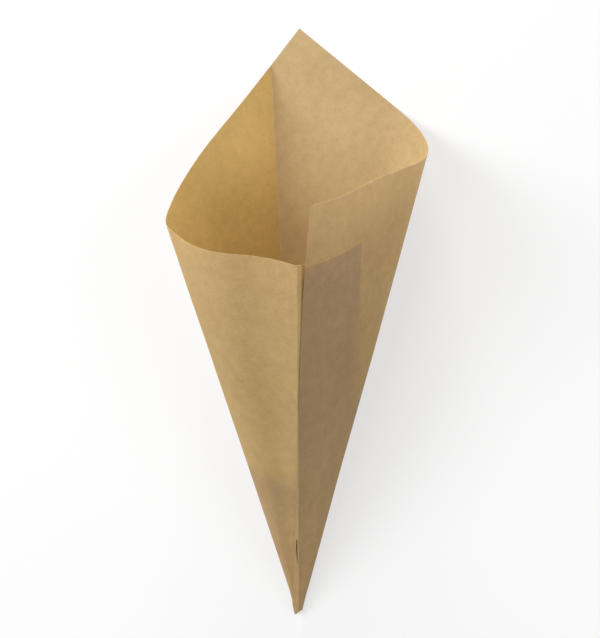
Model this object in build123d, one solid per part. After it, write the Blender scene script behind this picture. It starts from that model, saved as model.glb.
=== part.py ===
from build123d import *
import os
from bisect import bisect_right
from math import atan2, cos, degrees, hypot, radians, sin, sqrt, tan

# Paper fry cone: one sheet of brown kraft paper, rolled about the point where its straight
# lines meet, creased along two of those lines and closed by a glued flap.
# It lies on its flat back panel, +Y from the tip to the peak and +Z up.

# Sheet in the flat, in mm and degrees, measured from the meeting point of the lines
FOLD_LENGTH = 188.0          # that point to the sheet's top edge
SHEET_REACH = 215.7          # that point to the far side edge; its upper end is the peak
FOLD_ANGLE = 88.9            # front fold, from the sheet's lower edge
FLAP_WIDTH = 36.5            # front fold to the free edge of the glue flap
FLAP_WRAP = 24.0             # turn of the flap where its corner is cut away
EDGE_DROP_FAR = 5.3          # lower edge below the meeting point, at the far side
EDGE_DROP_NEAR = 4.25        # lower edge below the meeting point, at the tip
CORNER_RADIUS = 2.5          # rounded corner of the outer panel

# Paper
PAPER = 0.15                 # thickness
LAYER_PITCH = 0.30           # one turn of paper over the next

# Mouth section, X and Z in mm, on the plane 200 mm up from the meeting point
SECTION_AT = 200.0
FRONT_FOLD = (34.8, 106.1)
LEFT_WALL = [(10.8, 101.9), (-13.6, 103.4), (-37.1, 87.0), (-38.8, 59.1), (-33.7, 39.6), (-25.0, 22.4)]
BACK_FOLD = (-13.0, 0.0)
FLAT_END = (34.4, 0.0)
RIGHT_WALL = [(53.5, 9.8), (62.5, 29.3), (58.1, 50.1), (53.0, 66.9), (46.9, 86.1)]
LEFT_START_HEADING = -155.3  # direction of the left wall as it leaves the front fold
LEFT_END_HEADING = -62.8     # and as it reaches the back fold
RIGHT_END_HEADING = 140.2    # direction of the right wall as it reaches the front fold

# Cut tip and the slit beside the front fold
TIP_CUT = 6.6                # height of the cut on the centre line
TIP_SLOPE = 0.5              # rise of the cut towards +X
SLIT_TURN = 1.8              # slit, turned past the front fold
SLIT_LOW = 35.8              # its pointed lower end
SLIT_HIGH = 49.6             # its upper end
SLIT_WIDTH = 1.3
SLIT_DEPTH = 2.0             # reach of the cut to each side of the wall

SAMPLES = 240                # places where each wall of the section is measured
STRIP_TURN = 2.5             # turn of one face of a curved wall


def heading(angle):
    return Vector(cos(radians(angle)), 0, sin(radians(angle)))


def on_section(point):
    return Vector(point[0], SECTION_AT, point[1])


def wall(points, start_heading, end_heading):
    """Smooth wall of the section through these points, spaced along it by their distances."""
    points = [on_section(p) for p in points]
    along = [0.0]
    for one, two in zip(points, points[1:]):
        along.append(along[-1] + (two - one).length)
    ends = [heading(start_heading), heading(end_heading)]
    return Edge.make_spline(points, tangents=ends, parameters=along, scale=False)


def section_walls():
    """Left wall, flat panel and right wall of the mouth section, in the order of the roll."""
    left = wall([FRONT_FOLD, *LEFT_WALL, BACK_FOLD], LEFT_START_HEADING, LEFT_END_HEADING)
    flat = Edge.make_line(on_section(BACK_FOLD), on_section(FLAT_END))
    right = wall([FLAT_END, *RIGHT_WALL, FRONT_FOLD], 0, RIGHT_END_HEADING)
    return [left, flat, right]


class Roll:
    """The rolled sheet: gives the straight line and the outward normal at each turn in degrees."""

    def __init__(self):
        self.turns, self.lines, self.normals, self.corners = [], [], [], [0.0]
        turn = 0.0
        for wall in section_walls():
            last = None
            for k in range(SAMPLES + 1):
                line = wall.position_at(k / SAMPLES).normalized()
                normal = line.cross(wall.tangent_at(k / SAMPLES)).normalized()
                if last is not None:
                    turn += degrees(2 * atan2((line - last).length, (line + last).length))
                last = line
                self.turns.append(turn)
                self.lines.append(line)
                self.normals.append(normal)
            self.corners.append(turn)
        self.full = turn
        self.folds = [0.0, self.corners[1], self.full]

    def mitre(self, turn):
        """Offset direction on a fold, where the two walls' offsets meet."""
        if abs(turn - self.corners[1]) < 1e-7:
            one, two = self.normals[SAMPLES], self.normals[SAMPLES + 1]
        else:
            one, two = self.normals[-1], self.normals[0]
        return (one + two) * (1 / (1 + one.dot(two)))

    def at(self, turn):
        """Line and offset direction; turns past a full one run round again."""
        turn = turn + self.full if turn < 0 else turn
        turn = turn - self.full if turn > self.full else turn
        k = min(max(bisect_right(self.turns, turn) - 1, 0), len(self.turns) - 2)
        span = self.turns[k + 1] - self.turns[k]
        part = (turn - self.turns[k]) / span if span > 1e-12 else 0.0
        line = (self.lines[k] * (1 - part) + self.lines[k + 1] * part).normalized()
        if any(abs(turn - fold) < 1e-7 for fold in self.folds):
            return line, self.mitre(turn)
        return line, (self.normals[k] * (1 - part) + self.normals[k + 1] * part).normalized()


roll = Roll()
FLAT_START_TURN = roll.corners[1]
FLAT_END_TURN = roll.corners[2]
FULL_TURN = roll.full
PEAK_TURN = FOLD_ANGLE - degrees(atan2(FOLD_LENGTH, SHEET_REACH))
FLAP_CORNER_TURN = -(degrees(atan2(FOLD_LENGTH, -FLAP_WIDTH)) - FOLD_ANGLE)
OVERLAP_TURN = FULL_TURN - FLAP_WRAP


EDGE_SLOPE = (EDGE_DROP_FAR - EDGE_DROP_NEAR) / SHEET_REACH


def edge_drop(x):
    """Lower edge of the flat sheet, below the meeting point."""
    return EDGE_DROP_NEAR + EDGE_SLOPE * x


def top_edge(turn):
    return FOLD_LENGTH / sin(radians(FOLD_ANGLE - turn))


def side_edge(turn):
    return SHEET_REACH / cos(radians(FOLD_ANGLE - turn))


def flap_edge(turn):
    return -FLAP_WIDTH / cos(radians(FOLD_ANGLE - turn))


def lower_edge(turn):
    angle = radians(turn - FOLD_ANGLE)
    return EDGE_DROP_NEAR / (sin(angle) - EDGE_SLOPE * cos(angle))


def tip_edge(turn):
    """Slanting cut across the tip."""
    line, _ = roll.at(turn)
    return TIP_CUT / (line.Y - TIP_SLOPE * line.X)


def corner_centre():
    """Centre of the outer panel's rounded corner, in the flat sheet."""
    x = SHEET_REACH - CORNER_RADIUS
    return x, CORNER_RADIUS * hypot(1, EDGE_SLOPE) - edge_drop(x)


CORNER = corner_centre()
CORNER_FOOT = CORNER[0] - CORNER_RADIUS * EDGE_SLOPE / hypot(1, EDGE_SLOPE)
CORNER_START_TURN = FOLD_ANGLE - degrees(atan2(CORNER[1], SHEET_REACH))
CORNER_END_TURN = FOLD_ANGLE + degrees(atan2(edge_drop(CORNER_FOOT), CORNER_FOOT))


def corner_edge(turn):
    """Far side of the rounded corner, seen along the line at this turn."""
    angle = radians(FOLD_ANGLE - turn)
    along = CORNER[0] * cos(angle) + CORNER[1] * sin(angle)
    across = -CORNER[0] * sin(angle) + CORNER[1] * cos(angle)
    return along + sqrt(max(CORNER_RADIUS**2 - across**2, 0))


def lift(turn):
    """Height of the sheet's inner side above the first turn: it steps over the glue flap."""
    part = (turn - FLAT_END_TURN) / (OVERLAP_TURN - FLAT_END_TURN)
    part = min(max(part, 0.0), 1.0)
    return LAYER_PITCH * part * part * (3 - 2 * part)


def place(turn, radius, height):
    line, out = roll.at(turn)
    return line * radius + out * (lift(turn) + height)


def curve(points):
    if len(points) == 2:
        return Edge.make_line(*points)
    return Edge.make_spline(points, parameters=[k / (len(points) - 1) for k in range(len(points))])


def even(start, end, count):
    return [start + (end - start) * k / (count - 1) for k in range(count)]


def tail_end():
    """Turn where the lower edge has come down to the cut tip, less a short straight end."""
    turn = FULL_TURN + 5.0
    while lower_edge(turn) - tip_edge(turn) > 0.6:
        turn += 0.1
    return turn


def panels():
    """Each stretch of the sheet: its turns, and its outer outline above the cut tip."""
    fold_x = EDGE_DROP_NEAR / (tan(radians(FULL_TURN - FOLD_ANGLE)) - EDGE_SLOPE)
    strip = [FOLD_ANGLE + degrees(atan2(edge_drop(x), x)) for x in even(CORNER_FOOT, fold_x, 9)]
    strip[0] = CORNER_END_TURN
    strip[-1] = FULL_TURN
    end = tail_end()
    tail = [FULL_TURN + (end - FULL_TURN) * (k / 16) ** 1.6 for k in range(17)]
    return [
        (even(-FLAP_WRAP, FLAP_CORNER_TURN, 9), flap_edge),
        (even(FLAP_CORNER_TURN, 0.0, 9), top_edge),
        (even(0.0, FLAT_START_TURN, 33), top_edge),
        ([FLAT_START_TURN, PEAK_TURN], top_edge),
        ([PEAK_TURN, FLAT_END_TURN], side_edge),
        (even(FLAT_END_TURN, OVERLAP_TURN, 11), side_edge),
        (even(OVERLAP_TURN, CORNER_START_TURN, 17), side_edge),
        (even(CORNER_START_TURN, CORNER_END_TURN, 9), corner_edge),
        (strip, lower_edge),
        (tail, lower_edge),
    ]


def skin(turns, outline):
    """Inner, outer, upper and lower faces of one stretch of the sheet, a few degrees at a time."""
    edges = []
    for height in (0.0, PAPER):
        edges.append(curve([place(t, tip_edge(t), height) for t in turns]))
        edges.append(curve([place(t, outline(t), height) for t in turns]))
    count = max(1, round((turns[-1] - turns[0]) / STRIP_TURN)) if len(turns) > 2 else 1
    faces = []
    for k in range(count):
        low_in, high_in, low_out, high_out = [e.trim(k / count, (k + 1) / count) for e in edges]
        faces.append(Face.make_surface_from_curves(low_in, high_in))
        faces.append(Face.make_surface_from_curves(low_out, high_out))
        faces.append(Face.make_surface_from_curves(high_in, high_out))
        faces.append(Face.make_surface_from_curves(low_in, low_out))
    return faces


def free_end(turn, outline):
    """Cut end of the sheet along one of its straight lines."""
    inner = [place(turn, tip_edge(turn), 0.0), place(turn, outline(turn), 0.0)]
    outer = [place(turn, tip_edge(turn), PAPER), place(turn, outline(turn), PAPER)]
    return Face.make_surface_from_curves(Edge.make_line(*inner), Edge.make_line(*outer))


def rolled_sheet():
    parts = panels()
    faces = [face for turns, outline in parts for face in skin(turns, outline)]
    faces.append(free_end(parts[0][0][0], parts[0][1]))
    faces.append(free_end(parts[-1][0][-1], parts[-1][1]))
    return Solid(Shell(faces))


def slit():
    """Narrow pointed opening through both layers, just past the front fold."""
    line, out = roll.at(FULL_TURN + SLIT_TURN)
    across = out.cross(line)
    half = SLIT_WIDTH / 2
    shape = [(SLIT_LOW, 0), (SLIT_HIGH - half, half), (SLIT_HIGH, half / 2),
             (SLIT_HIGH, -half / 2), (SLIT_HIGH - half, -half)]
    base = [line * along + across * side - out * SLIT_DEPTH for along, side in shape]
    return Solid.extrude(Face(Wire.make_polygon(base)), out * (2 * SLIT_DEPTH))


def paper_cone():
    cone = rolled_sheet() - slit()
    box = cone.bounding_box()
    middle = Vector((box.min.X + box.max.X) / 2, (box.min.Y + box.max.Y) / 2, box.min.Z)
    return cone.moved(Location(-middle))


os.makedirs("parts", exist_ok=True)
export_step(paper_cone(), "parts/paper_cone.step")
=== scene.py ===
import math

import bpy
import numpy as np
from mathutils import Matrix


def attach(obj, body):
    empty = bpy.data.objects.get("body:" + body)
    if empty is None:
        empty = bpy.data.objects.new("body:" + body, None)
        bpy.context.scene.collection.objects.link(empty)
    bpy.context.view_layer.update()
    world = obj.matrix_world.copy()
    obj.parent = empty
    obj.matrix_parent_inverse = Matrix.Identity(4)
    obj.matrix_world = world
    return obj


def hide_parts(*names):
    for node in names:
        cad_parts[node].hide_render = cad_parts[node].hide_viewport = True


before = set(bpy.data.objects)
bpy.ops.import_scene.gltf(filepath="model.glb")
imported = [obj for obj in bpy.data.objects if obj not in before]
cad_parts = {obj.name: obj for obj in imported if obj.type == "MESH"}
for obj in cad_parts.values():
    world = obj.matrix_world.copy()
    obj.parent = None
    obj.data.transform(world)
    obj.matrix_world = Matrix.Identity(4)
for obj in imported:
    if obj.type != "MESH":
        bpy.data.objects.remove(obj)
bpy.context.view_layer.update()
print("frame loaded")

mm = 0.001
meetingPoint = (-14.345 * mm, -145.998 * mm, 0.15 * mm)  # where the sheet's straight lines meet

# the sheet in the flat, measured from the meeting point, in metres and degrees;
# turns are counted from the front fold, round the left wall, the back panel and the right wall
sheet = {
    "foldLength": 188 * mm,      # height of the top edge
    "reach": 215.7 * mm,         # distance of the far side edge
    "foldAngle": 88.72,          # front fold, up from the sheet's long direction
    "flapWidth": 36.5 * mm,      # distance of the flap's side edge, on the other side
    "flapWrap": 24.0,            # turn of the flap, which lies under the right wall
    "dropFar": 5.3 * mm,         # lower edge below the meeting point, at the far side
    "dropNear": 4.25 * mm,       # and at the tip
    "cornerRadius": 2.5 * mm,    # free corner of the outer panel
    "thickness": 0.15 * mm,
    "layerPitch": 0.30 * mm,     # one turn of paper over the next
    "tipCut": 5.8 * mm,          # the tip is cut off this far up from the meeting point
    "tipSlope": 0.72,            # and the cut rises this much to the right
    "slitTurn": 1.8,             # slit beside the front fold
    "slitLow": 35.8 * mm,        # its pointed lower end
    "slitHigh": 49.6 * mm,       # its upper end
    "slitWidth": 1.2 * mm,
}

# mouth section on a plane across the cone, X and Z in mm, headings in degrees
section = {
    "plane": 200.0,              # mm up from the meeting point
    "frontFold": (34.3, 106.1),
    "leftWall": [(10.7, 101.9), (-10.2, 104.4), (-25.0, 98.0), (-33.0, 90.6), (-38.7, 83.7),
                 (-40.1, 74.4), (-39.2, 62.2), (-36.6, 48.9), (-31.7, 34.6), (-23.5, 20.0)],
    "leftHeadings": (-163.6, -64.0),   # at the front fold and at the back fold
    "backFold": (-13.0, 0.0),
    "flatEnd": (34.4, 0.0),
    "rightWall": [(53.5, 9.8), (62.5, 29.3), (58.1, 50.1), (53.0, 66.9), (46.9, 86.1)],
    "rightHeadings": (0.0, 140.22),    # at the flat panel and at the front fold
    "roundPoints": 1600,         # points along each round wall
    "flatPoints": 400,
    "guideStep": 0.2,            # degrees between the points of the guide line
    "mitreRun": 0.004,           # degrees in which a fold's mitre gives way to the wall
}


def clampedSpline(points, headings, count):
    # evenly spaced points on a smooth curve through the given ones, with set headings at its ends
    pts = np.array(points, float)
    along = np.concatenate([[0], np.cumsum(np.hypot(*np.diff(pts, axis=0).T))])
    gaps = np.diff(along)
    system = np.zeros((len(pts), len(pts)))
    wanted = np.zeros((len(pts), 2))
    system[0, 0] = system[-1, -1] = 1
    for end, heading in zip((0, -1), headings):
        wanted[end] = math.cos(math.radians(heading)), math.sin(math.radians(heading))
    for i in range(1, len(pts) - 1):  # slopes that leave no jump in the bend
        before, after = gaps[i - 1], gaps[i]
        system[i, i - 1:i + 2] = after, 2 * (before + after), before
        wanted[i] = 3 * (after * (pts[i] - pts[i - 1]) / before + before * (pts[i + 1] - pts[i]) / after)
    slopes = np.linalg.solve(system, wanted)
    where = np.linspace(0, along[-1], count)
    k = np.clip(np.searchsorted(along, where, side="right") - 1, 0, len(gaps) - 1)
    t = ((where - along[k]) / gaps[k])[:, None]
    h = gaps[k][:, None]
    return ((2 * t**3 - 3 * t**2 + 1) * pts[k] + (t**3 - 2 * t**2 + t) * h * slopes[k]
            + (3 * t**2 - 2 * t**3) * pts[k + 1] + (t**3 - t**2) * h * slopes[k + 1])


def unit(vectors):
    return vectors / np.linalg.norm(vectors, axis=-1, keepdims=True)


def measureWalls():
    # each wall as turns in degrees, unit lines from the meeting point and outward normals
    leftWall = [section["frontFold"], *section["leftWall"], section["backFold"]]
    rightWall = [section["flatEnd"], *section["rightWall"], section["frontFold"]]
    outlines = [
        clampedSpline(leftWall, section["leftHeadings"], section["roundPoints"]),
        np.linspace(section["backFold"], section["flatEnd"], section["flatPoints"]),
        clampedSpline(rightWall, section["rightHeadings"], section["roundPoints"]),
    ]
    found = []
    start = 0.0
    for outline in outlines:
        up = np.full(len(outline), section["plane"])
        line = unit(np.column_stack([outline[:, 0], up, outline[:, 1]]))
        step = np.degrees(2 * np.arcsin(np.linalg.norm(np.diff(line, axis=0), axis=1) / 2))
        turn = start + np.concatenate([[0], np.cumsum(step)])
        out = unit(np.cross(line, np.gradient(line, axis=0, edge_order=2)))
        found.append((turn, line, out))
        start = turn[-1]
    return found


walls = measureWalls()
backTurn, flatTurn, fullTurn = [turn[-1] for turn, line, out in walls]
print("roll: back fold at %.2f, flat panel to %.2f, full turn %.2f degrees" % (backTurn, flatTurn, fullTurn))


def addObject(name, data):
    made = bpy.data.objects.new(name, data)
    bpy.context.scene.collection.objects.link(made)
    return made


def addAttribute(mesh, name, kind, domain, values):
    made = mesh.attributes.new(name, kind, domain)
    made.data.foreach_set("vector" if kind == "FLOAT_VECTOR" else "value", values)


def guideLine():
    # the lines once round, as a curve on the unit sphere that carries the outward normals
    run = section["mitreRun"]
    points = []
    outs = []
    for turn, line, out in walls:
        count = max(2, int(round((turn[-1] - turn[0]) / section["guideStep"])))
        inner = np.linspace(turn[0], turn[-1], count + 1)[1:-1]
        inner = np.concatenate([[turn[0], turn[0] + run], inner, [turn[-1] - run]])
        points.append(unit(np.column_stack([np.interp(inner, turn, line[:, k]) for k in range(3)])))
        outs.append(unit(np.column_stack([np.interp(inner, turn, out[:, k]) for k in range(3)])))
    for k, (turn, line, out) in enumerate(walls):  # where two walls meet, the offset runs along the mitre
        before = walls[k - 1][2][-1]
        outs[k][0] = (before + out[0]) / (1 + before @ out[0])
    points.append(walls[-1][1][-1:])
    outs.append(outs[0][:1])
    points = np.vstack(points)
    mesh = bpy.data.meshes.new("guideLine")
    mesh.from_pydata(points.tolist(), [(k, k + 1) for k in range(len(points) - 1)], [])
    addAttribute(mesh, "outward", "FLOAT_VECTOR", "POINT", np.vstack(outs).ravel())
    return addObject("guideLine", mesh)


def flatAngle(turn):
    # direction of a straight line in the flat sheet
    return np.radians(sheet["foldAngle"] - turn)


def edgeSlope():
    return (sheet["dropFar"] - sheet["dropNear"]) / sheet["reach"]


def lineAt(turn):
    # the rolled direction of the straight line at a turn
    turn = np.asarray(turn, float) % fullTurn
    allTurns = np.concatenate([wall[0] for wall in walls])
    allLines = np.vstack([wall[1] for wall in walls])
    return unit(np.stack([np.interp(turn, allTurns, allLines[:, k]) for k in range(3)], -1))


# each edge of the sheet as its distance from the meeting point along the line at a turn
def topEdge(turn):
    return sheet["foldLength"] / np.sin(flatAngle(turn))


def sideEdge(turn):
    return sheet["reach"] / np.cos(flatAngle(turn))


def flapEdge(turn):
    return -sheet["flapWidth"] / np.cos(flatAngle(turn))


def lowerEdge(turn):
    angle = -flatAngle(turn)
    return sheet["dropNear"] / (np.sin(angle) - edgeSlope() * np.cos(angle))


def tipEdge(turn):
    line = lineAt(turn)
    return sheet["tipCut"] / (line[..., 1] - sheet["tipSlope"] * line[..., 0])


def cornerCentre():
    x = sheet["reach"] - sheet["cornerRadius"]
    return x, sheet["cornerRadius"] * math.hypot(1, edgeSlope()) - sheet["dropNear"] - edgeSlope() * x


def cornerEdge(turn):
    angle = flatAngle(turn)
    x, y = cornerCentre()
    across = y * np.cos(angle) - x * np.sin(angle)
    halfChord = np.sqrt(np.maximum(sheet["cornerRadius"]**2 - across**2, 0))
    return x * np.cos(angle) + y * np.sin(angle) + halfChord


# how closely the flat sheet is divided before it is rolled, turns in degrees
division = {
    "turnStep": 0.8,             # between straight lines
    "rows": 118,                 # from the tip to the rim
    "rowCrowding": 1.45,         # closer rows towards the tip
    "rimRows": (0.9965, 0.9985),
    "foldRows": (0.25 * mm, 0.6 * mm, 1.3 * mm, 2.6 * mm),  # lines beside a fold
    "slitClear": 1.0,            # turn beside the slit with no other line
    "slitSeam": 0.05 * mm,       # half width of the slit's line where it is closed
    "slitTaper": 0.8,            # power by which the slit widens from its point
    "slitLines": 5,              # between the fold and the slit of the outer panel
    "cornerLines": 7,            # round the free corner
    "lowerLines": 26,            # from that corner to the front fold
    "lowerCrowding": 1.7,
    "tailLines": 32,             # from the slit to the end of the outer panel
    "tailCrowding": 1.35,
    "tailFrom": 5.0,             # the search for that end starts here, past the front fold
    "tailStep": 0.05,
    "tailLength": 0.6 * mm,      # the last line is about this long
}


def columnsOf(start, end, outline, count=0, foldAtStart=False, foldAtEnd=False, power=1.0):
    # turn, sideways distance, its limit in degrees, and the outline of each line but the last
    count = count or max(2, int(math.ceil((end - start) / division["turnStep"])))
    turns = start + (end - start) * (np.arange(count + 1) / count)**power
    rows = division["foldRows"]
    shares = np.arange(1, len(rows) + 1) / (len(rows) + 1)
    found = []
    for k in range(count):
        found.append((turns[k], 0.0, 0.0, outline))
        beside = list(zip(rows, (turns[k + 1] - turns[k]) * shares))
        if k == 0 and foldAtStart:
            found += [(turns[0], aside, limit, outline) for aside, limit in beside]
        if k == count - 1 and foldAtEnd:
            found += [(turns[-1], -aside, limit, outline) for aside, limit in reversed(beside)]
    return found


def slitColumns(turn, outline):
    return [(turn, "slit", side, outline) for side in (-1, 1)]


def flatTurnOf(x, y):
    # turn of a point that lies x along and y up the flat sheet
    return sheet["foldAngle"] - math.degrees(math.atan2(y, x))


def sheetColumns():
    # every straight line of the sheet, from the flap round to the end of the outer panel
    cornerX, cornerY = cornerCentre()
    footX = cornerX - sheet["cornerRadius"] * edgeSlope() / math.hypot(1, edgeSlope())
    flapTurn = flatTurnOf(-sheet["flapWidth"], sheet["foldLength"])
    peakTurn = flatTurnOf(sheet["reach"], sheet["foldLength"])
    cornerStart = flatTurnOf(sheet["reach"], cornerY)
    cornerEnd = flatTurnOf(footX, -sheet["dropNear"] - edgeSlope() * footX)
    slit = sheet["slitTurn"]
    clear = division["slitClear"]
    tailEnd = fullTurn + division["tailFrom"]
    while lowerEdge(tailEnd) - tipEdge(tailEnd) > division["tailLength"]:
        tailEnd += division["tailStep"]
    return [
        *columnsOf(-sheet["flapWrap"], flapTurn, flapEdge),
        *columnsOf(flapTurn, 0, topEdge, foldAtEnd=True),
        *columnsOf(0, slit - clear, topEdge, foldAtStart=True),
        *slitColumns(slit, topEdge),
        *columnsOf(slit + clear, backTurn, topEdge, foldAtEnd=True),
        *columnsOf(backTurn, peakTurn, topEdge, foldAtStart=True),
        *columnsOf(peakTurn, flatTurn, sideEdge),
        *columnsOf(flatTurn, cornerStart, sideEdge),
        *columnsOf(cornerStart, cornerEnd, cornerEdge, division["cornerLines"]),
        *columnsOf(cornerEnd, fullTurn, lowerEdge, division["lowerLines"], power=division["lowerCrowding"]),
        *columnsOf(fullTurn, fullTurn + slit - clear, lowerEdge, division["slitLines"]),
        *slitColumns(fullTurn + slit, lowerEdge),
        *columnsOf(fullTurn + slit + clear, tailEnd, lowerEdge, division["tailLines"],
                   power=division["tailCrowding"]),
        (tailEnd, 0.0, 0.0, lowerEdge),
    ]


def flatLines(columns, part):
    # the points of each line in the flat, from the tip to the rim, and the cells that the slit opens
    flat = np.zeros((len(columns), len(part), 2))
    slitCells = np.zeros((len(columns) - 1, len(part) - 1), bool)
    for j, (turn, aside, limit, outline) in enumerate(columns):
        low, high = tipEdge(turn), outline(turn)
        reach = low + (high - low) * part
        if aside == "slit":
            low, high = sheet["slitLow"], sheet["slitHigh"]
            first, last = np.argmin(abs(reach - low)), np.argmin(abs(reach - high))
            reach[first], reach[last] = low, high
            along = np.clip((reach - low) / (high - low), 0, 1)
            seam = division["slitSeam"]
            half = seam + (sheet["slitWidth"] / 2 - seam) * along**division["slitTaper"]
            half[last + 1:] = seam
            turns = turn + limit * np.degrees(half / reach)
            if limit > 0:
                slitCells[j - 1, first:last] = True
        else:
            turns = turn + np.sign(aside) * np.minimum(np.degrees(abs(aside) / reach), limit)
            low, high = tipEdge(turns), outline(turns)
            reach = low + (high - low) * part
        flat[j] = np.column_stack([reach * np.cos(flatAngle(turns)), reach * np.sin(flatAngle(turns))])
    return flat, slitCells


def flatSheet():
    # the sheet as a flat slab in lines from the tip to the rim, ready to be rolled
    columns = sheetColumns()
    part = np.linspace(0, 1, division["rows"])**division["rowCrowding"]
    part = np.sort(np.concatenate([part, division["rimRows"]]))
    flat, slitCells = flatLines(columns, part)
    points = flat.reshape(-1, 2)
    count = len(points)
    rows = len(part)
    j, i = np.nonzero(~slitCells)
    corner = j * rows + i
    outer = np.column_stack([corner, corner + 1, corner + rows + 1, corner + rows])
    inner = outer[:, ::-1] + count
    sides = np.vstack([outer[:, [k, (k + 1) % 4]] for k in range(4)])
    edges = dict.fromkeys(map(tuple, sides.tolist()))
    rim = np.array([edge for edge in edges if edge[::-1] not in edges])
    rimWall = np.column_stack([rim[:, 1], rim[:, 0], rim[:, 0] + count, rim[:, 1] + count])
    faces = np.vstack([outer, inner, rimWall])
    verts = np.zeros((2 * count, 3))
    verts[:count, :2] = verts[count:, :2] = points
    verts[:count, 2] = sheet["thickness"]
    used = np.unique(faces)
    verts = verts[used]
    renumbered = np.full(2 * count, -1)
    renumbered[used] = np.arange(len(used))
    mesh = bpy.data.meshes.new("fryCone")
    mesh.from_pydata(verts.tolist(), [], renumbered[faces].tolist())
    loops = np.zeros(len(mesh.loops), int)
    mesh.loops.foreach_get("vertex_index", loops)
    mesh.uv_layers.new(name="flatSheet").data.foreach_set("uv", verts[loops, :2].ravel())
    rims = renumbered[np.vstack([rim, rim + count])]
    rimEdges = {tuple(sorted(edge)) for edge in rims.tolist()}
    sharp = [tuple(sorted(edge.vertices)) in rimEdges for edge in mesh.edges]
    addAttribute(mesh, "sharp_edge", "BOOLEAN", "EDGE", sharp)
    addAttribute(mesh, "outerSide", "FLOAT", "POINT", (verts[:, 2] > 0).astype(float))
    mesh.polygons.foreach_set("use_smooth", [True] * len(mesh.polygons))
    print("flat sheet: %d lines, %d points" % (len(columns), len(used)))
    return mesh


class Field:
    # a socket that can be added, multiplied and so on, in any node tree
    tree = None

    def __init__(self, socket):
        self.socket = socket

    def maths(self, operation, *others, swap=False):
        values = [self, *others]
        if swap:
            values.reverse()
        return Field(node("ShaderNodeMath", {"operation": operation}, values).outputs[0])

    def __add__(self, other):
        return self.maths("ADD", other)

    def __radd__(self, other):
        return self.maths("ADD", other)

    def __sub__(self, other):
        return self.maths("SUBTRACT", other)

    def __rsub__(self, other):
        return self.maths("SUBTRACT", other, swap=True)

    def __mul__(self, other):
        return self.maths("MULTIPLY", other)

    def __rmul__(self, other):
        return self.maths("MULTIPLY", other)

    def __truediv__(self, other):
        return self.maths("DIVIDE", other)

    def __rtruediv__(self, other):
        return self.maths("DIVIDE", other, swap=True)

    def __pow__(self, other):
        return self.maths("POWER", other)

    def __neg__(self):
        return self.maths("MULTIPLY", -1.0)

    def size(self):
        return self.maths("ABSOLUTE")

    def atLeast(self, other):
        return self.maths("MAXIMUM", other)

    def atMost(self, other):
        return self.maths("MINIMUM", other)

    def step(self, low, high, first=0.0, last=1.0):
        # smooth change from first to last between low and high
        made = node("ShaderNodeMapRange", {"interpolation_type": "SMOOTHSTEP"},
                    {"Value": self, "From Min": low, "From Max": high, "To Min": first, "To Max": last})
        return Field(made.outputs[0])

    def fall(self, low, high):
        return self.step(low, high, 1.0, 0.0)


def node(kind, settings=None, inputs=None):
    made = Field.tree.nodes.new(kind)
    for name, value in (settings or {}).items():
        setattr(made, name, value)
    pairs = inputs.items() if isinstance(inputs, dict) else enumerate(inputs or [])
    for name, value in pairs:
        socket = made.inputs[name]
        if isinstance(value, Field):
            value = value.socket
        if isinstance(value, bpy.types.NodeSocket):
            Field.tree.links.new(value, socket)
        else:
            socket.default_value = value
    return made


def vectorSum(one, two):
    return Field(node("ShaderNodeVectorMath", {"operation": "ADD"}, [one, two]).outputs[0])


def scaledVector(vector, factor):
    made = node("ShaderNodeVectorMath", {"operation": "SCALE"}, {0: vector, "Scale": factor})
    return Field(made.outputs[0])


# how the paper departs from a perfect roll; each entry is an input of the roll, lengths are in
# metres, and a length with no other note is measured from the meeting point
liveliness = {
    "rippleHeight": 0.5 * mm,    # slow unevenness of the walls
    "rippleSize": 60 * mm,       # from one to the next
    "rippleDetail": 1.0,
    "rippleSeed": 3.0,
    "crinkleHeight": 0.07 * mm,  # small dents of handled paper
    "crinkleSize": 16 * mm,      # from one to the next
    "crinkleDetail": 2.0,
    "crinkleSeed": 10.0,
    "calmReach": 20 * mm,        # no unevenness nearer the tip than this
    "looseReach": 140 * mm,      # and all of it from here
    "calmBefore": 0.10,          # radians before the flat back panel in which it fades
    "calmAfter": 0.15,           # radians after the panel in which it comes back
    "foldRound": 0.4 * mm,       # width of the rounding on each side of the front fold
    "foldSink": 0.10 * mm,       # how far the rounding pulls the fold in
    "foldSinkReach": 30 * mm,    # all of it from here
    "inset": 0.25 * mm,          # the round walls stand this much inside the section
    "lowInset": 0.70 * mm,       # and this much more in the lower cone
    "lowInsetAll": 70 * mm,      # all of it up to this reach
    "lowInsetNone": 180 * mm,    # and none from here
    "tipInsetNone": 2 * mm,      # at the very tip it starts again from none
    "tipInsetAll": 18 * mm,
    "tipBend": 0.7 * mm,         # the tip is bent towards the left
    "tipBendReach": 21 * mm,
    "cornerLift": 4.6 * mm,      # free corner of the outer panel stands out
    "cornerFrom": 165 * mm,      # from this far along the sheet
    "cornerReach": 46 * mm,      # and this far above its free edge
    "cornerCurl": 1.3,           # power by which it rises
    "edgeLift": 0.35 * mm,       # free edge of the outer panel stands off the layer below
    "edgeReach": 5 * mm,         # this far above that edge
    "edgeLiftNone": 45 * mm,     # along the sheet, none of it nearer the tip than this
    "edgeLiftAll": 100 * mm,     # and all of it from here
}


def inputName(key):
    # foldRound becomes Fold Round
    return "".join(" " + letter if letter.isupper() else letter for letter in key).title()


def rollInputs(guide):
    # angles in radians, lengths in metres
    return {
        "guide": guide,
        "foldAngle": math.radians(sheet["foldAngle"]),
        "backFold": math.radians(backTurn),
        "flatEnd": math.radians(flatTurn),
        "fullTurn": math.radians(fullTurn),
        "overlapFrom": math.radians(fullTurn - sheet["flapWrap"]),
        "layerPitch": sheet["layerPitch"],
        "sheetReach": sheet["reach"],
        "edgeDrop": sheet["dropNear"],
        "edgeSlope": edgeSlope(),
        **liveliness,
    }


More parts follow.
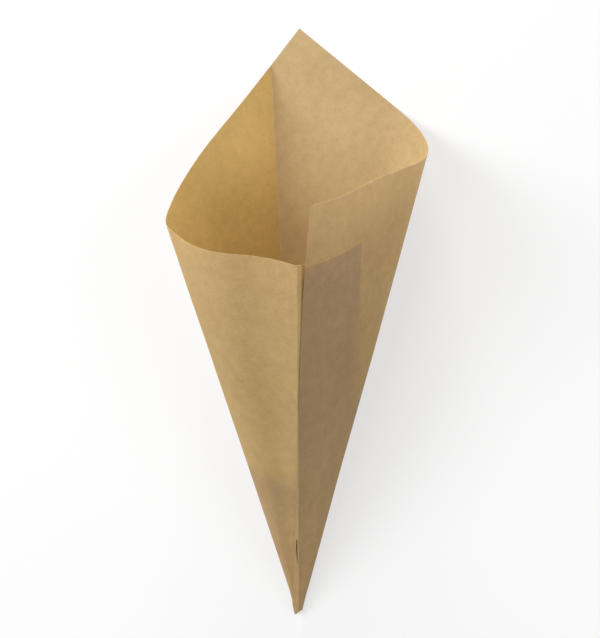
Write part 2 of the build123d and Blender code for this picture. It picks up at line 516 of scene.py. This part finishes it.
def rolledLine(value, around):
    # the straight line and the outward direction at a turn, read from the guide line
    guide = node("GeometryNodeObjectInfo", {}, {"Object": value["guide"]})
    curve = node("GeometryNodeMeshToCurve", {}, {0: guide.outputs["Geometry"]})
    outward = node("GeometryNodeInputNamedAttribute", {"data_type": "FLOAT_VECTOR"}, {"Name": "outward"})
    sample = node("GeometryNodeSampleCurve",
                  {"mode": "LENGTH", "data_type": "FLOAT_VECTOR", "use_all_curves": False},
                  {"Curves": curve.outputs[0], "Value": outward.outputs[0], "Length": around})
    line = node("ShaderNodeVectorMath", {"operation": "NORMALIZE"}, [sample.outputs["Position"]])
    return Field(line.outputs[0]), Field(sample.outputs[0])


def rollTree(paper, inputs):
    # the rule that rolls the flat slab: a point goes out along its own straight line
    tree = bpy.data.node_groups.new("rollSheet", "GeometryNodeTree")
    Field.tree = tree
    tree.interface.new_socket("Geometry", in_out="OUTPUT", socket_type="NodeSocketGeometry")
    tree.interface.new_socket("Geometry", in_out="INPUT", socket_type="NodeSocketGeometry")
    for key in inputs:
        kind = "NodeSocketObject" if key == "guide" else "NodeSocketFloat"
        tree.interface.new_socket(inputName(key), in_out="INPUT", socket_type=kind)
    given = node("NodeGroupInput")
    value = {key: Field(given.outputs[inputName(key)]) for key in inputs}

    position = node("GeometryNodeInputPosition").outputs[0]
    x, y, z = [Field(part) for part in node("ShaderNodeSeparateXYZ", {}, [position]).outputs]
    reach = (x * x + y * y)**0.5
    turn = value["foldAngle"] - y.maths("ARCTAN2", x)
    around = turn.maths("WRAP", value["fullTurn"], 0.0)
    line, out = rolledLine(value, around)
    wall = scaledVector(line, reach)

    # ripples and dents of the round walls, which the flat back panel doesn't have
    slack = reach.step(value["calmReach"], value["looseReach"])

    def unevenness(kind):
        seen = node("ShaderNodeTexNoise", {"noise_dimensions": "4D"},
                    {"Vector": wall, "W": value[kind + "Seed"], "Scale": 1 / value[kind + "Size"],
                     "Detail": value[kind + "Detail"]})
        return (Field(seen.outputs[0]) - 0.5) * 2.0 * value[kind + "Height"] * slack

    ripples = unevenness("ripple")
    crinkles = unevenness("crinkle")
    inset = value["inset"] + (value["lowInset"] * reach.fall(value["lowInsetAll"], value["lowInsetNone"])
                              * reach.step(value["tipInsetNone"], value["tipInsetAll"]))
    flatness = around.step(value["backFold"] - value["calmBefore"], value["backFold"])
    flatness = flatness * around.fall(value["flatEnd"], value["flatEnd"] + value["calmAfter"])

    # the rounded front fold, in both layers
    clearOfFold = 1.0
    for fold in (0.0, value["fullTurn"]):
        aside = reach * (turn - fold).maths("SINE").size()
        clearOfFold = (aside / value["foldRound"]).atMost(1.0) * clearOfFold
    sink = (1.0 - clearOfFold) * (1.0 - clearOfFold) * value["foldSink"]
    sink = sink * reach.step(0.0, value["foldSinkReach"])

    # the outer panel lies over the flap, and its free corner and edge stand off
    overlap = turn.step(value["flatEnd"], value["overlapFrom"]) * value["layerPitch"]
    aboveEdge = y + value["edgeDrop"] + value["edgeSlope"] * x
    towards = (x - value["cornerFrom"]) / (value["sheetReach"] - value["cornerFrom"])
    corner = value["cornerLift"] * towards.atLeast(0.0)**value["cornerCurl"]
    corner = corner * aboveEdge.fall(0.0, value["cornerReach"])
    free = x.step(value["edgeLiftNone"], value["edgeLiftAll"]) * aboveEdge.fall(0.0, value["edgeReach"])

    height = z + overlap + (ripples + crinkles - inset) * (1.0 - flatness) - sink
    height = height + corner + free * value["edgeLift"]
    bend = (1.0 - reach / value["tipBendReach"]).atLeast(0.0) * value["tipBend"]
    bent = node("ShaderNodeCombineXYZ", {}, [-bend])
    moved = vectorSum(vectorSum(wall, scaledVector(out, height)), bent.outputs[0])
    placed = vectorSum(moved, meetingPoint)
    rolled = node("GeometryNodeSetPosition", {}, {"Geometry": given.outputs[0], "Position": placed})
    realised = node("GeometryNodeRealizeInstances", {}, [rolled.outputs[0]])
    dressed = node("GeometryNodeSetMaterial", {}, {"Geometry": realised.outputs[0], "Material": paper})
    node("NodeGroupOutput", {}, [dressed.outputs[0]])
    return tree


def rollUp(flatMesh, paper):
    piece = addObject("fryCone", flatMesh)
    guide = guideLine()
    inputs = rollInputs(guide)
    roll = piece.modifiers.new("rollSheet", "NODES")
    roll.node_group = rollTree(paper, inputs)
    named = {inputName(key): value for key, value in inputs.items()}
    for item in roll.node_group.interface.items_tree:
        if item.in_out == "INPUT" and item.name in named:
            roll[item.identifier] = named[item.name]
    bpy.context.view_layer.update()
    depsgraph = bpy.context.evaluated_depsgraph_get()
    evaluated = piece.evaluated_get(depsgraph)
    rolled = bpy.data.meshes.new_from_object(evaluated, preserve_all_data_layers=True, depsgraph=depsgraph)
    piece.modifiers.remove(roll)
    piece.data = rolled
    rolled.name = "fryCone"
    bpy.data.objects.remove(guide)
    return piece


def insideOut(mesh):
    # true where the closed surface encloses a negative volume
    mesh.calc_loop_triangles()
    corners = np.zeros(len(mesh.loop_triangles) * 3, int)
    mesh.loop_triangles.foreach_get("vertices", corners)
    places = np.zeros(len(mesh.vertices) * 3)
    mesh.vertices.foreach_get("co", places)
    a, b, c = places.reshape(-1, 3)[corners].reshape(-1, 3, 3).transpose(1, 0, 2)
    volume = np.einsum("ij,ij->", a, np.cross(b, c)) / 6
    print("paper volume %.0f cubic mm, %d triangles" % (volume / mm**3, len(mesh.loop_triangles)))
    return volume < 0


# brown kraft paper, with painted light and shade among its tints; pairs of lengths say where a tint starts
# and where it is whole, or the reverse
kraft = {
    "plain": (0.514, 0.347, 0.150),
    "dark": (0.84, 0.82, 0.78),  # the mottling runs from this times the plain colour
    "light": (1.16, 1.18, 1.22),  # to this times it
    "roughness": 0.82,
    "shine": 0.25,
    "grains": {                  # layers of pattern, laid on the flat sheet
        "clouds": {"size": 30 * mm, "detail": 3.0, "rough": 0.5, "stretch": 1, "turn": 0,
                   "shift": (6.5, 4.55)},
        "mottle": {"size": 5 * mm, "detail": 3.0, "rough": 0.6, "stretch": 1, "turn": 0,
                   "shift": (4.1, 2.87)},
        "fibres": {"size": 0.5 * mm, "detail": 2.0, "rough": 0.5, "stretch": 0.35, "turn": 4,
                   "shift": (2.6, 1.82)},
        "flecks": {"size": 0.9 * mm, "detail": 0.0, "rough": 0.5, "stretch": 0.35, "turn": 35,
                   "shift": (9.0, 6.3)},
    },
    "tones": {"clouds": 0.7, "mottle": 0.9, "fibres": 0.8},  # how much each changes the colour
    "fleckFrom": (0.70, 0.80),
    "fleckTone": 0.5,
    "tints": {                   # each multiplies the paper's colour; all but inside are painted light or shade
        "inside": (0.92, 0.95, 1.06),
        "insideLeft": (1.15, 1.11, 0.77),  # painted light: the left wall seen from inside, made lighter and yellower
        # painted light: the inside paler towards the mouth
        "insideRim": (1.14, 1.15, 1.24),
        "rim": (1.16, 1.14, 1.15),         # painted light: the outside paler towards the mouth
        # painted light: the outside lighter towards the tip
        "tip": (1.15, 1.13, 1.07),
        # painted shade: the right wall, outside, a little darker
        "rightWall": (0.97, 0.94, 0.97),
        "doubled": (0.82, 0.82, 0.96),     # painted shade: over the flap two layers let less light through, so darker and greyer
        "lowRight": (0.84, 0.85, 0.94),    # painted shade: the right wall darker and greyer towards the tip
        # painted light: the right wall paler at its top
        "highRight": (1.23, 1.28, 1.31),
        "flapTop": (1.10, 1.08, 0.95),     # painted highlight: a light line along the flap's top edge
        "flap": (1.22, 1.24, 1.22),        # painted light: the glue flap in sight beside the front fold, lightened where the lifted outer panel shades it
    },
    "pastBack": (-0.3 * mm, 0.6 * mm),     # across the back fold
    "shortOfFold": (-2 * mm, 0.0),         # across the front fold, inside
    "insideRimReach": (195 * mm, 235 * mm),
    "rimReach": (150 * mm, 200 * mm),
    "tipReach": (110 * mm, 30 * mm),
    "rightBelow": (75 * mm, 85 * mm),      # height in the flat; near the tip this takes in the left wall
    "rightAlong": (0.0, 1 * mm),
    "lowBelow": (85 * mm, 135 * mm),       # along the seam
    "highAbove": (185 * mm, 215 * mm),
    "sideBlur": (0.4 * mm, 5 * mm),        # the flap's side edge shows through as painted shade, ever softer downwards
    "sideBlurBelow": 120 * mm,             # along the seam, softest from here down
    "topBlur": 0.3 * mm,
    "flapTopLine": (0.1 * mm, 0.7 * mm),   # each side of the flap's top edge, for its painted highlight
    "flapPast": (0.2 * mm, 0.8 * mm),      # across the front fold, outside
    "flapReach": (50 * mm, 110 * mm),
    # painted highlight along the front and back folds
    "creaseWidth": 0.6 * mm,
    "creaseHighlightTone": 0.6,
    "grainRelief": {"strength": 0.3, "depth": 0.05 * mm, "fibres": 0.5, "mottle": 1.0},
    "flapRelief": {"strength": 1.0, "depth": 0.12 * mm},  # the flap's edges press through the outer panel
}


def startNodes(owner):
    # an empty node tree in a material or a world
    owner.use_nodes = True
    owner.node_tree.nodes.clear()
    Field.tree = owner.node_tree


def colour(rgb):
    return (*rgb, 1.0)


def mixColour(factor, one, two, blend="MIX"):
    made = node("ShaderNodeMix", {"data_type": "RGBA", "blend_type": blend, "clamp_factor": True},
                {0: factor, 6: one, 7: two})
    return Field(made.outputs[2])


def tinted(base, factor, tint):
    return mixColour(factor, base, mixColour(1.0, base, colour(tint), "MULTIPLY"))


def grain(uv, size, detail, rough, stretch, turn, shift):
    laid = node("ShaderNodeMapping", {}, {
        "Vector": uv, "Location": (*shift, 0), "Rotation": (0, 0, math.radians(turn)),
        "Scale": (stretch / size, 1 / size, 1 / size)})
    seen = node("ShaderNodeTexNoise", {},
                {"Vector": laid.outputs[0], "Scale": 1.0, "Detail": detail, "Roughness": rough})
    return Field(seen.outputs[0])


def sheetMarks(uv):
    # where each tint lies on the sheet, from 0 to 1, then the painted highlight along the folds and the
    # paper over the flap; most tints are painted light and shade
    x, y = [Field(part) for part in node("ShaderNodeSeparateXYZ", {}, [uv]).outputs[:2]]
    outside = Field(node("ShaderNodeAttribute", {"attribute_name": "outerSide"}).outputs["Fac"])
    inside = 1.0 - outside
    reach = (x * x + y * y)**0.5

    def beside(angle):
        # distance from a straight line of the sheet, positive towards the flap
        return y * math.cos(angle) - x * math.sin(angle)

    fromFold = beside(math.radians(sheet["foldAngle"]))
    fromBack = beside(math.radians(sheet["foldAngle"] - backTurn))
    seam = math.radians(sheet["foldAngle"] - fullTurn)
    fromSeam = beside(seam)
    alongSeam = x * math.cos(seam) + y * math.sin(seam)

    left = fromBack.step(*kraft["pastBack"])
    right = y.fall(*kraft["rightBelow"]) * x.step(*kraft["rightAlong"]) * outside
    low = alongSeam.fall(*kraft["lowBelow"])
    sharpBlur, softBlur = kraft["sideBlur"]
    blur = sharpBlur + alongSeam.step(kraft["sideBlurBelow"], sheet["foldLength"], softBlur, 0.0)
    overFlap = fromSeam.fall(sheet["flapWidth"] - blur, sheet["flapWidth"] + blur)
    topBlur = kraft["topBlur"]
    underTop = alongSeam.fall(sheet["foldLength"] - topBlur, sheet["foldLength"] + topBlur)
    flapTop = (alongSeam - sheet["foldLength"]).size().fall(*kraft["flapTopLine"]) * overFlap
    # masks for the tints; all but inside are painted light or shade
    marks = {
        "inside": inside,
        "insideLeft": inside * left * fromFold.fall(*kraft["shortOfFold"]),
        "insideRim": inside * left * reach.step(*kraft["insideRimReach"]),
        "rim": reach.step(*kraft["rimReach"]) * outside,
        "tip": reach.step(*kraft["tipReach"]) * outside,
        "rightWall": right,
        "doubled": overFlap * underTop * (1.0 - low) * right,
        "lowRight": low * right,
        "highRight": alongSeam.step(*kraft["highAbove"]) * right,
        "flapTop": flapTop * right,
        "flap": fromFold.step(*kraft["flapPast"]) * reach.step(*kraft["flapReach"]) * outside,
    }
    # painted highlight along the front and back folds
    creaseHighlight = fromFold.size().atMost(fromBack.size()).fall(0.0, kraft["creaseWidth"])
    return marks, creaseHighlight, overFlap * underTop * right


# the paper's colour and mottling, with painted light and shade laid on it
def kraftPaper():
    paper = bpy.data.materials.new("kraftPaper")
    startNodes(paper)
    uv = node("ShaderNodeUVMap", {"uv_map": "flatSheet"}).outputs[0]
    layers = {name: grain(uv, **laid) for name, laid in kraft["grains"].items()}
    marks, creaseHighlight, doubled = sheetMarks(uv)
    tone = 0.5
    for name, strength in kraft["tones"].items():
        tone = tone + (layers[name] - 0.5) * strength
    flecks = layers["flecks"].step(*kraft["fleckFrom"])
    base = mixColour(tone, colour(kraft["dark"]), colour(kraft["light"]))
    base = mixColour(1.0, base, colour(kraft["plain"]), "MULTIPLY")
    base = tinted(base, flecks * kraft["fleckTone"], kraft["dark"])
    # the tints: painted light and shade, and the inside's tint
    for name, mark in marks.items():
        base = tinted(base, mark, kraft["tints"][name])
    # painted highlight along the folds, in the mottling's light colour
    base = tinted(base, creaseHighlight * kraft["creaseHighlightTone"], kraft["light"])
    grainRelief, flapRelief = kraft["grainRelief"], kraft["flapRelief"]
    relief = (layers["fibres"] - 0.5) * grainRelief["fibres"]
    relief = relief + (layers["mottle"] - 0.5) * grainRelief["mottle"]
    rough = node("ShaderNodeBump", {}, {
        "Strength": grainRelief["strength"], "Distance": grainRelief["depth"], "Height": relief})
    bump = node("ShaderNodeBump", {}, {
        "Strength": flapRelief["strength"], "Distance": flapRelief["depth"], "Height": doubled,
        "Normal": rough.outputs[0]})
    shader = node("ShaderNodeBsdfPrincipled", {}, {
        "Base Color": base, "Roughness": kraft["roughness"], "Specular IOR Level": kraft["shine"],
        "Normal": bump.outputs[0]})
    node("ShaderNodeOutputMaterial", {}, {"Surface": shader.outputs[0]})
    return paper


paper = kraftPaper()
cone = rollUp(flatSheet(), paper)
if insideOut(cone.data):
    cone.data.flip_normals()
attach(cone, "root")
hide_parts("paper_cone")
print("cone rolled")

# photographer's table and light
studio = {
    "floorSize": 6.0,
    "floorColour": (0.86, 0.86, 0.86),
    "floorGlow": 0.62,           # share of plain white that the camera sees in the floor
    "white": (1.0, 1.0, 1.0),
    "worldStrength": 0.2,        # soft light from all round
    "lampSize": 0.7,
    "lamps": {                   # place and power, all aimed at the middle of the cone's footprint
        "mouthLamp": ((0.0, 1.3, 0.15), 25.8),
        "leftLamp": ((-0.9, 0.2, 0.9), 9.2),
        "frontLamp": ((-0.45, 0.1, 1.2), 4.0),
        "rightLamp": ((1.0, 0.0, 0.8), 4.4),
    },
}


def seenWhite():
    # 1 for rays that the camera sees straight, in a shine or through something clear
    path = node("ShaderNodeLightPath")
    seen = Field(path.outputs["Is Camera Ray"])
    for ray in ("Is Glossy Ray", "Is Transmission Ray"):
        seen = seen.atLeast(Field(path.outputs[ray]))
    return seen


def whiteFloor():
    size = studio["floorSize"] / 2
    corners = [(-size, -size, 0), (size, -size, 0), (size, size, 0), (-size, size, 0)]
    mesh = bpy.data.meshes.new("floor")
    mesh.from_pydata(corners, [], [(0, 1, 2, 3)])
    floor = addObject("floor", mesh)
    white = bpy.data.materials.new("whiteTable")
    startNodes(white)
    matt = node("ShaderNodeBsdfDiffuse", {}, {"Color": colour(studio["floorColour"])})
    glow = node("ShaderNodeEmission", {}, {"Color": colour(studio["white"]), "Strength": 1.0})
    mixed = node("ShaderNodeMixShader", {},
                 {0: seenWhite() * studio["floorGlow"], 1: matt.outputs[0], 2: glow.outputs[0]})
    node("ShaderNodeOutputMaterial", {}, {"Surface": mixed.outputs[0]})
    mesh.materials.append(white)


def softLamp(name, at, power):
    light = bpy.data.lights.new(name, "AREA")
    light.shape = "DISK"
    light.size = studio["lampSize"]
    light.energy = power
    lamp = addObject(name, light)
    lamp.location = at
    lamp.rotation_euler = (-lamp.location).to_track_quat("-Z", "Y").to_euler()


def softWorld():
    # soft light, seen as white
    world = bpy.data.worlds.new("studio")
    bpy.context.scene.world = world
    startNodes(world)
    white = colour(studio["white"])
    light = node("ShaderNodeBackground", {}, {"Color": white, "Strength": studio["worldStrength"]})
    backdrop = node("ShaderNodeBackground", {}, {"Color": white, "Strength": 1.0})
    mixed = node("ShaderNodeMixShader", {}, {0: seenWhite(), 1: light.outputs[0], 2: backdrop.outputs[0]})
    node("ShaderNodeOutputWorld", {}, {"Surface": mixed.outputs[0]})


whiteFloor()
for name, (at, power) in studio["lamps"].items():
    softLamp(name, at, power)
softWorld()
print("floor and lights set")

# the photograph's camera, for a picture of 600 by 638
view = {
    "fromMeetingPoint": (192.24 * mm, 128.91 * mm, 543.32 * mm),
    "lean": 1.7475,              # degrees about X, after the turn
    "turn": 19.5928,             # degrees about Y
    "lens": 72.17,               # mm, on a sensor of this width
    "sensor": 36.0,
    "nearest": 0.01,             # metres, nothing nearer or farther is seen
    "farthest": 20.0,
}


def photoCamera():
    data = bpy.data.cameras.new("photoCamera")
    data.sensor_fit = "HORIZONTAL"
    data.sensor_width = view["sensor"]
    data.lens = view["lens"]
    data.clip_start = view["nearest"]
    data.clip_end = view["farthest"]
    camera = addObject("photoCamera", data)
    lean = Matrix.Rotation(math.radians(view["lean"]), 4, "X")
    turn = Matrix.Rotation(math.radians(view["turn"]), 4, "Y")
    place = Matrix.Translation(np.add(view["fromMeetingPoint"], meetingPoint).tolist())
    camera.matrix_world = place @ lean @ turn
    bpy.context.scene.camera = camera


photoCamera()
bpy.context.scene.view_settings.view_transform = "Standard"
